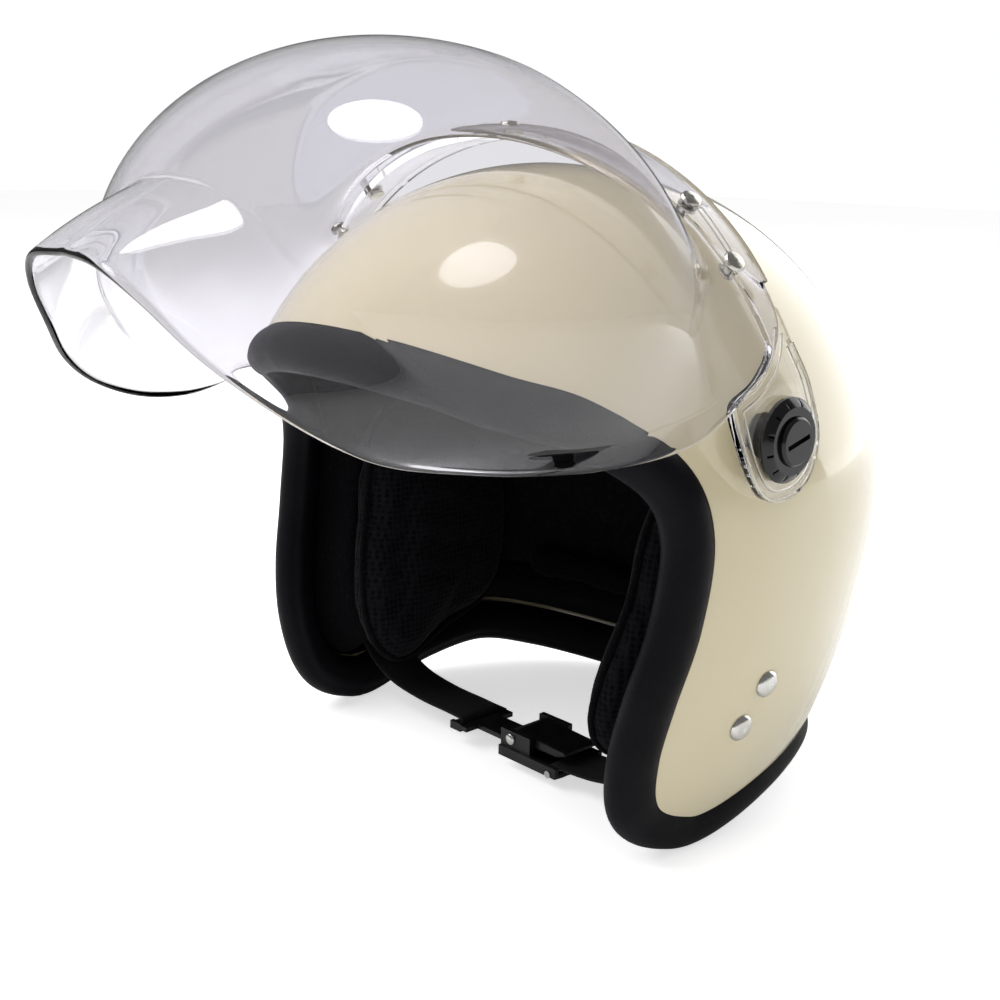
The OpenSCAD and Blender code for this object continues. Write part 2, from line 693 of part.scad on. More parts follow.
module buckle_lever() {
    w = 2 * wall_y - 0.8;
    color([0.05, 0.05, 0.05]) difference() {
        translate([buckle_x, strap_y + w / 2, 0]) rotate([90, 0, 0]) linear_extrude(height = w)
            polygon([[pin_x - 3.2, pin_z + 1], [pin_x - 2, pin_z - 2.4], [pin_x + 2, pin_z - 3.2],
                [pin_x + 6, pin_z - 1.4], [15, pin_z - 1.2], [20, pin_z + 0.6],
                [19.4, pin_z + 2.2], [13, pin_z + 2.4], [pin_x, pin_z + 3.2],
                [pin_x - 2.4, pin_z + 2.8]]);
        across_strap(buckle_x + pin_x, pin_z, pin_r + 0.06, 60);
    }
}

module buckle_tongue() {
    teeth = 9;
    pitch = 2.6;
    far = tongue_bar_x + 5;
    color([0.06, 0.06, 0.06]) translate([buckle_x, strap_y, 0]) difference() {
        union() {
            translate([far, tongue_w / 2, 0]) rotate([90, 0, 0])
                linear_extrude(height = tongue_w) polygon(concat(
                    [[0, tongue_z[0]], [-far + 4, tongue_z[0]], [-far + 4, tongue_z[0] + 1.2]],
                    [for (k = [0 : teeth - 1]) each [
                        [-far + 3 - k * pitch, tongue_z[0] + 1.2],
                        [-far + 3 - (k + 1) * pitch, tongue_z[1]]]],
                    [[0, tongue_z[1]]]));
            translate([far - 1, -web_w / 2 - 2.6, tongue_z[0]])
                cube([4, web_w + 5.2, tongue_z[1] - tongue_z[0]]);
            for (s = [-1, 1]) translate([tongue_bar_x - 2.4, s * (web_w / 2 + 1.6) - 1,
                tongue_z[0] - 1]) cube([6.5, 2, tongue_z[1] - tongue_z[0] + 1.5]);
            translate([tongue_bar_x, -web_w / 2 - 1, tongue_bar_z]) rotate([-90, 0, 0])
                cylinder(h = web_w + 2, r = bar_r);
        }
    }
}

shell();
edge_trim();
foam_liner();
face_lining();
channel_linings();
crown_liner();
brow_pad();
cheek_pad_left();
cheek_pad_right();
neck_roll();
pivot_spacers();
pivot_bushes();
tee_nuts();
hinge_screws();
knob_bases();
knob_caps();
visor_lens();
visor_frame();
frame_rivets();
strap_rivets();
anchor_plates();
strap_left();
strap_right();
buckle_body();
buckle_bar();
lever_pin();
buckle_lever();
buckle_tongue();
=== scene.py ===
import json
import math

import bmesh
import bpy
import numpy as np
from mathutils import Matrix, Vector

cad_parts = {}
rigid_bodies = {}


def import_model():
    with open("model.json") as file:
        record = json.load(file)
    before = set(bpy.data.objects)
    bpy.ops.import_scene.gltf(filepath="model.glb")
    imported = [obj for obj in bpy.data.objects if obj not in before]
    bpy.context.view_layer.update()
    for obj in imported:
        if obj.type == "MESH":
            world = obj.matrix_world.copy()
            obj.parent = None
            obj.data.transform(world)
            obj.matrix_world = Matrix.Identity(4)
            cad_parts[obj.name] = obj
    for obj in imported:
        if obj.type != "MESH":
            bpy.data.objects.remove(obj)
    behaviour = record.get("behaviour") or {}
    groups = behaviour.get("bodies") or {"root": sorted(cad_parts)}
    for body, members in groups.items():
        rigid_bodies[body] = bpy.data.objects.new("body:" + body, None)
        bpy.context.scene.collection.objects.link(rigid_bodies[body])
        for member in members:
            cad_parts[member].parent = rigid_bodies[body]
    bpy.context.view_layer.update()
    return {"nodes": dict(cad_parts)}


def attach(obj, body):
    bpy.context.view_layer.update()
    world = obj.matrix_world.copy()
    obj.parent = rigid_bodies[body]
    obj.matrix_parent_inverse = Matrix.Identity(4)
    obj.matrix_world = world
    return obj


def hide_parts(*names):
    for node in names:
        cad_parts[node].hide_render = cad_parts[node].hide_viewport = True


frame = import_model()
NODES = frame["nodes"]
rng = np.random.default_rng(7)

# ---------------------------------------------------------------- sizes, mm, as in part.scad
SHELL = np.array([123.4, 136.4, 124.8, 205.0])      # half width, half length, up, down
LINER = np.array([94.0, 105.0, 92.0, 165.0])
SHELL_T = 4.0
PITCH = math.radians(13.3)
STAND = np.array([0, 39.0, 119.25])
TRIM_W, TRIM_H, TRIM_OUT, TRIM_GRIP = 18.9, 7.7, 3.0, 1.5
HINGE = np.array([-31.0, 31.0])
FRAME_R, FRAME_HW, FRAME_T = 97.3, 126.0, 2.6
ARM_LEVEL, ARM_SOFT = 123.0, 0.8
LENS_T, LENS_GAP = 2.4, 0.35
BUBBLE_C = np.array([0, -104.8, 55.1])
BUBBLE = np.array([121.5, 95.9, 85.7])
STRAP_Y, WEB_W, WEB_T = 18.0, 22.0, 1.8
CHANNEL_Y, CHANNEL_Z = (2.5, 34.5), (16.0, 84.0)
SOFT_GAP = 1.3
PAD_PRESSURE = 4.0
BROW_START, NAPE_END = 39.7, -80.0
EDGE = np.array([
    [-SHELL[1] * math.sqrt(1 - (BROW_START / SHELL[2]) ** 2), BROW_START],
    [-108, 34.6], [-87.1, 31.3], [-59.4, 17.5], [-45.2, -4.8], [-40.6, -37], [-40.1, -65.5],
    [-36.7, -87.5], [-27.4, -104.6], [-11, -109.3], [2.2, -106.9], [31.8, -92.2],
    [63.1, -79.5], [90.3, -77.7],
    [SHELL[1] * math.sqrt(1 - (NAPE_END / SHELL[3]) ** 2), NAPE_END]])
RIM = np.array([
    [0, -229, 45.4], [19.9, -229, 43.3], [34.9, -221.3, 35.5], [47.9, -206.8, 22.9],
    [64.3, -190.7, 12.2], [75, -173.8, 5.3], [77.2, -155.7, 2.2], [82.3, -136.8, 3],
    [94.1, -115.4, 6.2], [109, -91.1, 13.6], [120.5, -68.4, 26.7], [126.6, -50.5, 51]])
ARM = np.array([
    [-8.5, 43], [-11, 34], [-14, 25], [-20, 15.5], [-27.3, 8], [-26, 1.5], [-19.5, -8],
    [-11.5, -16], [-3, -20.8], [6, -20.7], [14, -17.3], [20, -10.5], [21, -2], [17.5, 8],
    [8, 20], [-1, 31], [-6, 42]])


# ---------------------------------------------------------------- geometry helpers
def unit(v):
    return v / np.linalg.norm(v, axis=-1, keepdims=True)


def lerp(a, b, t):
    return a + (b - a) * t


def ease(t):
    t = np.clip(t, 0, 1)
    return t * t * (3 - 2 * t)


def spline(p, u):
    """Catmull-Rom through the rows of p, u from 0 to the last index."""
    p = np.asarray(p, float)
    g = np.vstack([2 * p[0] - p[1], p, 2 * p[-1] - p[-2]])
    u = np.atleast_1d(np.asarray(u, float))
    i = np.clip(np.floor(u).astype(int), 0, len(p) - 2)
    t = (u - i)[:, None]
    a, b, c, d = g[i], g[i + 1], g[i + 2], g[i + 3]
    return 0.5 * (2 * b + (c - a) * t + (2 * a - 5 * b + 4 * c - d) * t ** 2
                  + (3 * b - a - 3 * c + d) * t ** 3)


def worn(p):
    """Shell frame, mm, to the row frame, metres."""
    p = np.asarray(p, float)
    c, s = math.cos(PITCH), math.sin(PITCH)
    y, z = p[..., 1], p[..., 2]
    q = np.stack([p[..., 0], y * c + z * s, -y * s + z * c], -1)
    return (q + STAND) / 1000


def unworn(p):
    """Row frame, metres, to the shell frame, mm."""
    q = np.asarray(p, float) * 1000 - STAND
    c, s = math.cos(PITCH), math.sin(PITCH)
    y, z = q[..., 1], q[..., 2]
    return np.stack([q[..., 0], y * c - z * s, y * s + z * c], -1)


def down_axis(z, dims):
    return np.where(z > 0, dims[2], dims[3])


def shell_x(y, z):
    return SHELL[0] * np.sqrt(np.maximum(
        0, 1 - (y / SHELL[1]) ** 2 - (z / down_axis(z, SHELL)) ** 2))


def shell_n(p):
    c = down_axis(p[..., 2], SHELL)
    return unit(np.stack([p[..., 0] / SHELL[0] ** 2, p[..., 1] / SHELL[1] ** 2,
                          p[..., 2] / c ** 2], -1))


def loop_at(s):
    s = np.atleast_1d(np.asarray(s, float))
    s = np.where(s > 1, s - 2, np.where(s < -1, s + 2, s))
    u = (1 - np.cos(np.pi * np.abs(s))) / 2 * (len(EDGE) - 1)
    q = spline(EDGE, u)
    return np.stack([np.sign(s) * shell_x(q[:, 0], q[:, 1]), q[:, 0], q[:, 1]], -1)


def loop_out(s):
    """Normal, and the direction towards the opening, on the edge loop."""
    s = np.atleast_1d(np.asarray(s, float))
    c = loop_at(s)
    n = shell_n(c)
    t = unit(loop_at(s + 0.004) - loop_at(s - 0.004))
    return c, n, unit(np.cross(t, n))


def edge_dirn(s, d):
    """Directions of the points that lie d mm in from the edge loop."""
    c, _, o = loop_out(s)
    p = c - o * d
    return unit(np.stack([p[:, 0] / SHELL[0], p[:, 1] / SHELL[1],
                          p[:, 2] / down_axis(p[:, 2], SHELL)], -1))


def on_dome(q, dims):
    return np.stack([q[..., 0] * dims[0], q[..., 1] * dims[1],
                     q[..., 2] * down_axis(q[..., 2], dims)], -1)


def slerp(a, b, t):
    w = np.arccos(np.clip((a * b).sum(-1, keepdims=True), -1, 1))
    return (np.sin((1 - t) * w) * a + np.sin(t * w) * b) / np.sin(w)


CROWN = unit(np.array([0, 0.25, 1.0]))


def grid_faces(rows, cols, wrap_cols=False, wrap_rows=False, flip=False):
    out = []
    for j in range(rows if wrap_rows else rows - 1):
        for k in range(cols if wrap_cols else cols - 1):
            a = j * cols + k
            b = j * cols + (k + 1) % cols
            c = (j + 1) % rows * cols + (k + 1) % cols
            d = (j + 1) % rows * cols + k
            out.append((a, d, c, b) if flip else (a, b, c, d))
    return out


def tube(path, radius, sides=10, closed=False, up=None):
    """Vertices and faces of a tube along the points of path, in metres."""
    path = np.asarray(path, float)
    if closed:
        d = np.roll(path, -1, 0) - np.roll(path, 1, 0)
    else:
        d = np.gradient(path, axis=0)
    d = unit(d)
    r = np.broadcast_to(np.asarray(radius, float), (len(path),))
    ref = np.array([0, 0, 1.0]) if up is None else np.asarray(up, float)
    if np.ndim(ref) == 1:
        ref = np.broadcast_to(ref, path.shape)
    a = unit(np.cross(d, ref))
    b = unit(np.cross(a, d))
    ang = np.arange(sides) * 2 * math.pi / sides
    v = (path[:, None] + r[:, None, None] * (np.cos(ang)[None, :, None] * a[:, None]
         + np.sin(ang)[None, :, None] * b[:, None])).reshape(-1, 3)
    f = grid_faces(len(path), sides, wrap_cols=True, wrap_rows=closed, flip=True)
    if not closed:
        f += [tuple(range(sides)),
              tuple((len(path) - 1) * sides + k for k in reversed(range(sides)))]
    return v, f


def join(parts):
    vs, fs, n = [], [], 0
    for v, f in parts:
        vs.append(np.asarray(v, float))
        fs += [tuple(i + n for i in q) for q in f]
        n += len(v)
    return np.vstack(vs), fs


def mesh_piece(name, v, f, material, body, sharp=None, nodes=()):
    me = bpy.data.meshes.new(name)
    me.from_pydata([tuple(p) for p in v], [], f)
    me.validate()
    me.update()
    bm = bmesh.new()
    bm.from_mesh(me)
    bmesh.ops.recalc_face_normals(bm, faces=bm.faces)
    bm.to_mesh(me)
    bm.free()
    me.polygons.foreach_set("use_smooth", [True] * len(me.polygons))
    if sharp is not None:
        me.set_sharp_from_angle(angle=math.radians(sharp))
    ob = bpy.data.objects.new(name, me)
    bpy.context.scene.collection.objects.link(ob)
    me.materials.append(material)
    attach(ob, body)
    if nodes:
        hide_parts(*nodes)
    return ob


# ---------------------------------------------------------------- materials
def nodes_of(name):
    m = bpy.data.materials.new(name)
    m.use_nodes = True
    nt = m.node_tree
    p = nt.nodes["Principled BSDF"]
    return m, nt, p


def link(nt, a, b):
    nt.links.new(a, b)


def coords(nt):
    return nt.nodes.new("ShaderNodeTexCoord").outputs["Object"]


def noise(nt, vec, scale, detail=3, rough=0.5):
    n = nt.nodes.new("ShaderNodeTexNoise")
    n.inputs["Scale"].default_value = scale
    n.inputs["Detail"].default_value = detail
    n.inputs["Roughness"].default_value = rough
    link(nt, vec, n.inputs["Vector"])
    return n.outputs["Fac"]


def ramp(nt, fac, stops):
    r = nt.nodes.new("ShaderNodeValToRGB")
    el = r.color_ramp.elements
    while len(el) < len(stops):
        el.new(0.5)
    for e, (pos, col) in zip(el, stops):
        e.position = pos
        e.color = (*col, 1) if np.ndim(col) else (col, col, col, 1)
    link(nt, fac, r.inputs["Fac"])
    return r.outputs["Color"]


def bump(nt, p, height, strength, distance, before=None):
    b = nt.nodes.new("ShaderNodeBump")
    b.inputs["Strength"].default_value = strength
    b.inputs["Distance"].default_value = distance
    link(nt, height, b.inputs["Height"])
    if before is not None:
        link(nt, before, b.inputs["Normal"])
    link(nt, b.outputs["Normal"], p.inputs["Normal"])
    return b.outputs["Normal"]


def voronoi(nt, vec, scale, feature="F1", randomness=1.0):
    v = nt.nodes.new("ShaderNodeTexVoronoi")
    v.feature = feature
    v.inputs["Scale"].default_value = scale
    v.inputs["Randomness"].default_value = randomness
    link(nt, vec, v.inputs["Vector"])
    return v.outputs["Distance"]


def make_shell_gloss():
    m, nt, p = nodes_of("ivory_lacquer")
    vec = coords(nt)
    link(nt, ramp(nt, noise(nt, vec, 14, 2), [(0.3, (0.790, 0.700, 0.460)),
                                              (0.7, (0.825, 0.735, 0.495))]),
         p.inputs["Base Color"])
    link(nt, ramp(nt, noise(nt, vec, 60, 4), [(0.3, 0.16), (0.8, 0.24)]), p.inputs["Roughness"])
    p.inputs["Coat Weight"].default_value = 1.0
    p.inputs["Coat Roughness"].default_value = 0.035
    p.inputs["Coat IOR"].default_value = 1.5
    bump(nt, p, noise(nt, vec, 420, 2), 0.05, 0.0004)
    return m


def make_trim():
    m, nt, p = nodes_of("rolled_vinyl")
    vec = coords(nt)
    link(nt, ramp(nt, noise(nt, vec, 25, 4), [(0.3, (0.0028, 0.0029, 0.0042)),
                                              (0.75, (0.0050, 0.0052, 0.0075))]),
         p.inputs["Base Color"])
    link(nt, ramp(nt, noise(nt, vec, 90, 5), [(0.25, 0.42), (0.8, 0.58)]), p.inputs["Roughness"])
    p.inputs["Specular IOR Level"].default_value = 0.10
    grain = voronoi(nt, vec, 1500)
    first = bump(nt, p, grain, 0.18, 0.0003)
    bump(nt, p, noise(nt, vec, 45, 4, 0.6), 0.25, 0.0012, first)
    return m


def make_cloth(name, hollow_shade, light, cell, holes=0.55, sheen=0.25, depth=0.0006):
    """Open spacer mesh, or a plainer knit where holes is small."""
    m, nt, p = nodes_of(name)
    vec = coords(nt)
    cellf = voronoi(nt, vec, cell, randomness=0.25)
    # cell centres, which the bump below sinks, take the darker colour: painted shade in the hollows
    # of the weave; the raised threads between them get the lighter colour
    link(nt, ramp(nt, cellf, [(0.15, hollow_shade), (holes, light)]), p.inputs["Base Color"])
    p.inputs["Roughness"].default_value = 0.95
    p.inputs["Specular IOR Level"].default_value = 0.08
    p.inputs["Sheen Weight"].default_value = sheen
    p.inputs["Sheen Roughness"].default_value = 0.5
    first = bump(nt, p, cellf, 0.7, depth)
    bump(nt, p, noise(nt, vec, 70, 4, 0.6), 0.3, 0.0015, first)
    return m


def make_web():
    m, nt, p = nodes_of("woven_webbing")
    vec = coords(nt)
    link(nt, ramp(nt, noise(nt, vec, 500, 3), [(0.3, 0.003), (0.75, 0.008)]),
         p.inputs["Base Color"])
    p.inputs["Roughness"].default_value = 0.7
    p.inputs["Specular IOR Level"].default_value = 0.25
    p.inputs["Sheen Weight"].default_value = 0.05
    bump(nt, p, noise(nt, vec, 1800, 2), 0.5, 0.0003)
    return m


def make_plastic(name, lo, hi, rough, grain, strength=0.15):
    m, nt, p = nodes_of(name)
    vec = coords(nt)
    link(nt, ramp(nt, noise(nt, vec, 120, 3), [(0.3, lo), (0.7, hi)]), p.inputs["Base Color"])
    link(nt, ramp(nt, noise(nt, vec, 200, 4), [(0.3, rough * 0.8), (0.75, rough * 1.3)]),
         p.inputs["Roughness"])
    bump(nt, p, noise(nt, vec, grain, 2), strength, 0.0002)
    return m


def make_metal(name, lo, hi, rough):
    m, nt, p = nodes_of(name)
    vec = coords(nt)
    link(nt, ramp(nt, noise(nt, vec, 180, 4), [(0.3, lo), (0.7, hi)]), p.inputs["Base Color"])
    p.inputs["Metallic"].default_value = 1.0
    link(nt, ramp(nt, noise(nt, vec, 420, 4), [(0.3, rough * 0.7), (0.75, rough * 1.5)]),
         p.inputs["Roughness"])
    bump(nt, p, noise(nt, vec, 900, 2), 0.08, 0.0002)
    return m


def make_foam():
    m, nt, p = nodes_of("bead_foam")
    vec = coords(nt)
    cellf = voronoi(nt, vec, 320)
    link(nt, ramp(nt, cellf, [(0.1, 0.008), (0.6, 0.004)]), p.inputs["Base Color"])
    p.inputs["Roughness"].default_value = 0.8
    p.inputs["Specular IOR Level"].default_value = 0.15
    bump(nt, p, cellf, 0.5, 0.0006)
    return m


def make_clear(name, tint, rough=0.0):
    """Clear moulding: lamps pass straight through it, so it throws only a faint shadow."""
    m, nt, p = nodes_of(name)
    vec = coords(nt)
    p.inputs["Base Color"].default_value = (*tint, 1)
    p.inputs["Roughness"].default_value = rough
    p.inputs["IOR"].default_value = 1.5
    p.inputs["Transmission Weight"].default_value = 1.0
    p.inputs["Specular IOR Level"].default_value = 0.22
    bump(nt, p, noise(nt, vec, 12, 2), 0.04, 0.002)
    tr = nt.nodes.new("ShaderNodeBsdfTransparent")
    tr.inputs["Color"].default_value = (*[c ** 0.5 for c in tint], 1)
    lp = nt.nodes.new("ShaderNodeLightPath")
    mx = nt.nodes.new("ShaderNodeMixShader")
    link(nt, lp.outputs["Is Shadow Ray"], mx.inputs["Fac"])
    link(nt, p.outputs["BSDF"], mx.inputs[1])
    link(nt, tr.outputs["BSDF"], mx.inputs[2])
    link(nt, mx.outputs["Shader"], nt.nodes["Material Output"].inputs["Surface"])
    return m


MAT = {
    "shell_gloss": make_shell_gloss(),
    "trim_vinyl": make_trim(),
    "lining_fabric": make_cloth("brushed_lining", (0.0012,) * 3, (0.0036, 0.0036, 0.0048), 900,
                                0.5, 0.02),
    "mesh_fabric": make_cloth("spacer_mesh", (0.0010,) * 3, (0.0080, 0.0080, 0.0105), 420,
                              0.6, 0.03, 0.0009),
    "webbing": make_web(),
    "black_plastic": make_plastic("satin_black", 0.004, 0.008, 0.36, 1500),
    "knob_plastic": make_plastic("gloss_black", 0.0035, 0.006, 0.12, 900, 0.05),
    "steel": make_metal("zinc_plate", (0.50, 0.50, 0.50), (0.62, 0.61, 0.58), 0.30),
    "nickel": make_metal("bright_nickel", (0.66, 0.65, 0.62), (0.80, 0.79, 0.76), 0.20),
    "clear_rivet": make_metal("snap_rivet", (0.50, 0.48, 0.43), (0.70, 0.68, 0.62), 0.22),
    "foam": make_foam(),
    "clear_lens": make_clear("clear_bubble", (0.780, 0.772, 0.808)),
    "clear_frame": make_clear("clear_arch", (0.965, 0.96, 0.955), 0.02),
}

# ---------------------------------------------------------------- shell
def dome_piece():
    stations, rings = 320, 56
    s = -1 + 2 * np.arange(stations) / stations
    dirs = edge_dirn(s, 0.0)
    out = []
    t = np.arange(1, rings + 1) / rings
    for dims in (SHELL, SHELL - SHELL_T):
        q = slerp(CROWN[None, None], dirs[None], t[:, None, None])
        out.append(on_dome(q, dims).reshape(-1, 3))
        out.append(on_dome(CROWN[None], dims))
    v = np.vstack(out)
    n = stations * rings
    pole = (n, 2 * n + 1)
    f = []
    for layer, base in ((0, 0), (1, n + 1)):
        f += [tuple(base + i for i in q) for q in grid_faces(rings, stations, wrap_cols=True)]
        f += [(pole[layer], base + k, base + (k + 1) % stations) for k in range(stations)]
    a, b = (rings - 1) * stations, n + 1 + (rings - 1) * stations
    f += [(a + k, a + (k + 1) % stations, b + (k + 1) % stations, b + k)
          for k in range(stations)]
    return mesh_piece("helmet_shell", worn(v), f, MAT["shell_gloss"], "helmet",
                      40, ["shell"])


dome_piece()


# ---------------------------------------------------------------- edge trim
def trim_piece():
    stations, sides = 520, 44
    s = -1 + 2 * np.arange(stations) / stations
    c, n, o = loop_out(s)
    mid = c + o * (TRIM_W / 2 - TRIM_GRIP) - n * (TRIM_H - TRIM_OUT)
    a = 2 * math.pi * np.arange(sides) / sides
    deg = np.degrees(a)

    def hump(at, width):
        d = (deg - at + 180) % 360 - 180
        return np.exp(-(d / width) ** 2)
    # a tucked fold inside the opening and the sewn edge that sits on the shell
    shape = 1 + 0.055 * hump(292, 16) - 0.05 * hump(318, 10) - 0.10 * hump(180, 9) \
        + 0.03 * hump(155, 14)
    k = np.arange(stations) / stations * 2 * math.pi
    wave = np.zeros(stations)
    for m, amp in ((5, 0.012), (9, 0.010), (14, 0.006), (23, 0.004)):
        wave += amp * np.sin(m * k + rng.uniform(0, 6.28))
    r = shape[None] * (1 + wave[:, None] * np.sin(a)[None] ** 2)
    v = mid[:, None] + o[:, None] * (np.cos(a)[None] * r)[..., None] * TRIM_W / 2 \
        + n[:, None] * (np.sin(a)[None] * r)[..., None] * TRIM_H
    v = worn(v.reshape(-1, 3))
    v[:, 2] = np.maximum(v[:, 2], 0)
    return mesh_piece("edge_trim_roll", v, grid_faces(stations, sides, True, True),
                      MAT["trim_vinyl"], "helmet", None, ["edge_trim"])


trim_piece()


def bar(s0, s1, section, outer, inner, stations):
    """Bar along the loop; section rows are (inset mm, share of the depth)."""
    s = np.linspace(s0, s1, stations)
    s = np.where(s > 1, s - 2, s)
    section = np.asarray(section, float)
    m = len(section)
    rows = []
    for inset, share in section:
        q = edge_dirn(s, inset)
        rows.append(on_dome(q, lerp(outer, inner, share)))
    v = np.stack(rows, 1)
    ends = [tuple(range(m)), tuple((stations - 1) * m + j for j in reversed(range(m)))]
    return v.reshape(-1, 3), grid_faces(stations, m, wrap_cols=True) + ends


def rounded(d0, d1, n, power=2.6):
    """Closed superellipse section between two insets, depth share 0 to 1."""
    a = 2 * math.pi * np.arange(n) / n
    c, s = np.cos(a), np.sin(a)
    x = np.sign(c) * np.abs(c) ** (2 / power)
    y = np.sign(s) * np.abs(s) ** (2 / power)
    return np.stack([lerp(d0, d1, (x + 1) / 2), (y + 1) / 2], -1)


def lining_bands():
    """Cloth band behind the trim, all round but for the strap channels."""
    s = np.linspace(0.2, 1, 1600)
    line = worn(loop_at(s)) * 1000
    front = s[(s < 0.62) & (line[:, 1] < CHANNEL_Y[0])].max()
    back = s[(s > front) & (line[:, 1] > CHANNEL_Y[1])].min()
    outer = SHELL - SHELL_T - 0.8
    inner = LINER + 1.0
    sec = rounded(0.4, 14.6, 24, 4.0)
    v, f = join([bar(-front, front, sec, outer, inner, 300),
                 bar(back, 2 - back, sec, outer, inner, 160)])
    mesh_piece("lining_band", worn(v), f, MAT["lining_fabric"], "helmet", None,
               ["face_lining"])


lining_bands()


def channel_linings():
    """Cloth stuck to the shell in each strap channel."""
    s = np.linspace(0.15, 0.75, 900)
    line = worn(on_dome(edge_dirn(s, 1.2), SHELL - SHELL_T - 0.5)) * 1000
    low = int(np.argmin(line[:, 2]))
    line = line[:low][::-1]
    rows, cols = 70, 34
    z = np.linspace(line[0, 2] + 0.4, CHANNEL_Z[1] - 0.5, rows)
    y0 = np.interp(z, line[:, 2], line[:, 1])
    t = np.linspace(0, 1, cols)
    y = y0[:, None] + (CHANNEL_Y[1] - 0.6 - y0)[:, None] * t
    zz = np.broadcast_to(z[:, None], y.shape)
    q = unworn(np.stack([np.zeros_like(y), y, zz], -1) / 1000)
    ripple = 0.06 * rng.normal(size=y.shape)
    ripple = (ripple + np.roll(ripple, 1, 0) + np.roll(ripple, 1, 1)) / 3
    layers = []
    for depth, give in ((SHELL_T + 0.5, 0.0), (SHELL_T + 1.15, 1.0)):
        d = SHELL - depth
        x = d[0] * np.sqrt(np.maximum(0, 1 - (q[..., 1] / d[1]) ** 2
                                      - (q[..., 2] / down_axis(q[..., 2], d)) ** 2))
        layers.append(np.stack([x - give * ripple, q[..., 1], q[..., 2]], -1).reshape(-1, 3))
    n = rows * cols
    f = grid_faces(rows, cols)
    f += [tuple(n + i for i in reversed(g)) for g in grid_faces(rows, cols)]
    edge = [j for j in range(cols)] + [i * cols + cols - 1 for i in range(1, rows)] \
        + [(rows - 1) * cols + j for j in range(cols - 2, -1, -1)] \
        + [i * cols for i in range(rows - 2, 0, -1)]
    f += [(a, b, b + n, a + n) for a, b in zip(edge, edge[1:] + edge[:1])]
    v = worn(np.vstack(layers))
    for side, name in ((1, "left"), (-1, "right")):
        mesh_piece(f"channel_lining_{name}", v * [side, 1, 1], f, MAT["lining_fabric"],
                   "helmet", None, ["channel_linings"] if side > 0 else ())


channel_linings()


# ---------------------------------------------------------------- padding
def simulated(name, v, f, voxel, cap):
    """Closed start form, remeshed and blown up a little by Cloth; returns a mesh."""
    me = bpy.data.meshes.new(name + "_form")
    me.from_pydata([tuple(p) for p in v], [], f)
    me.validate()
    me.update()
    ob = bpy.data.objects.new(name + "_form", me)
    bpy.context.scene.collection.objects.link(ob)
    mod = ob.modifiers.new("remesh", "REMESH")
    mod.mode = "VOXEL"
    mod.voxel_size = voxel
    dg = bpy.context.evaluated_depsgraph_get()
    body = bpy.data.meshes.new_from_object(ob.evaluated_get(dg))
    ob.modifiers.clear()
    ob.data = body
    start = np.array([p.co for p in body.vertices])
    cloth = ob.modifiers.new("cloth", "CLOTH")
    st = cloth.settings
    st.quality = 5
    st.mass = 0.2
    st.use_pressure = True
    st.uniform_pressure_force = PAD_PRESSURE
    st.tension_stiffness = 20
    st.compression_stiffness = 20
    st.bending_stiffness = 0.6
    st.effector_weights.gravity = 0
    scene = bpy.context.scene
    for fr in range(1, 21):
        scene.frame_set(fr)
    dg = bpy.context.evaluated_depsgraph_get()
    ev = ob.evaluated_get(dg).to_mesh()
    end = np.array([p.co for p in ev.vertices])
    ob.evaluated_get(dg).to_mesh_clear()
    ob.modifiers.clear()
    scene.frame_set(1)
    move = end - start
    move -= move.mean(0)
    size = np.linalg.norm(move, axis=1, keepdims=True)
    start = start + move * np.minimum(1, cap / np.maximum(size, 1e-9))
    faces = [tuple(q.vertices) for q in body.polygons]
    bpy.data.objects.remove(ob)
    return start, faces


def smooth_points(v, f, rounds=3, amount=0.5):
    n = len(v)
    e = np.array([(q[i], q[(i + 1) % len(q)]) for q in f for i in range(len(q))])
    for _ in range(rounds):
        total, count = np.zeros_like(v), np.zeros(n)
        np.add.at(total, e[:, 0], v[e[:, 1]])
        np.add.at(total, e[:, 1], v[e[:, 0]])
        np.add.at(count, e[:, 0], 1)
        np.add.at(count, e[:, 1], 1)
        v = lerp(v, total / np.maximum(count, 1)[:, None], amount)
    return v


def inside_liner(p, gap):
    """Row frame points kept inside the foam's hollow."""
    q = unworn(p)
    d = LINER - gap
    c = down_axis(q[:, 2], d)
    f = np.sqrt((q[:, 0] / d[0]) ** 2 + (q[:, 1] / d[1]) ** 2 + (q[:, 2] / c) ** 2)
    q = q / np.maximum(f, 1)[:, None]
    return worn(q)


def groove(p, line, width, depth, towards):
    """Sewn channel: points near line (N, 3) sink by depth along towards (row frame)."""
    d = np.full(len(p), 1e9)
    for a in line:
        d = np.minimum(d, np.linalg.norm(p - a, axis=1))
    return p + towards * (depth * np.exp(-(d / width) ** 2))[:, None]


def subdivided(ob, levels=1):
    mod = ob.modifiers.new("soften", "SUBSURF")
    mod.levels = mod.render_levels = levels
    return ob


CHEEK = np.array([
    [-31, 12], [-36, -10], [-35, -36], [-35, -62], [-31, -84], [-20, -97], [-4, -99],
    [20, -84], [40, -68], [47, -42], [42, -10], [24, 10], [-4, 17], [-31, 12]])
CHEEK_MID = np.array([2.0, -40.0])
CHEEK_T = 25.0


def liner_point(y, z, depth):
    d = LINER - depth
    c = down_axis(z, d)
    x = d[0] * np.sqrt(np.maximum(0.02, 1 - (y / d[1]) ** 2 - (z / c) ** 2))
    return np.stack([x, y, z], -1)


def cheek_rings(shares, depths, n=72):
    ring = spline(CHEEK, np.arange(n) / n * (len(CHEEK) - 1))
    return [liner_point(*lerp(ring, CHEEK_MID, t).T, d) for t, d in zip(shares, depths)]


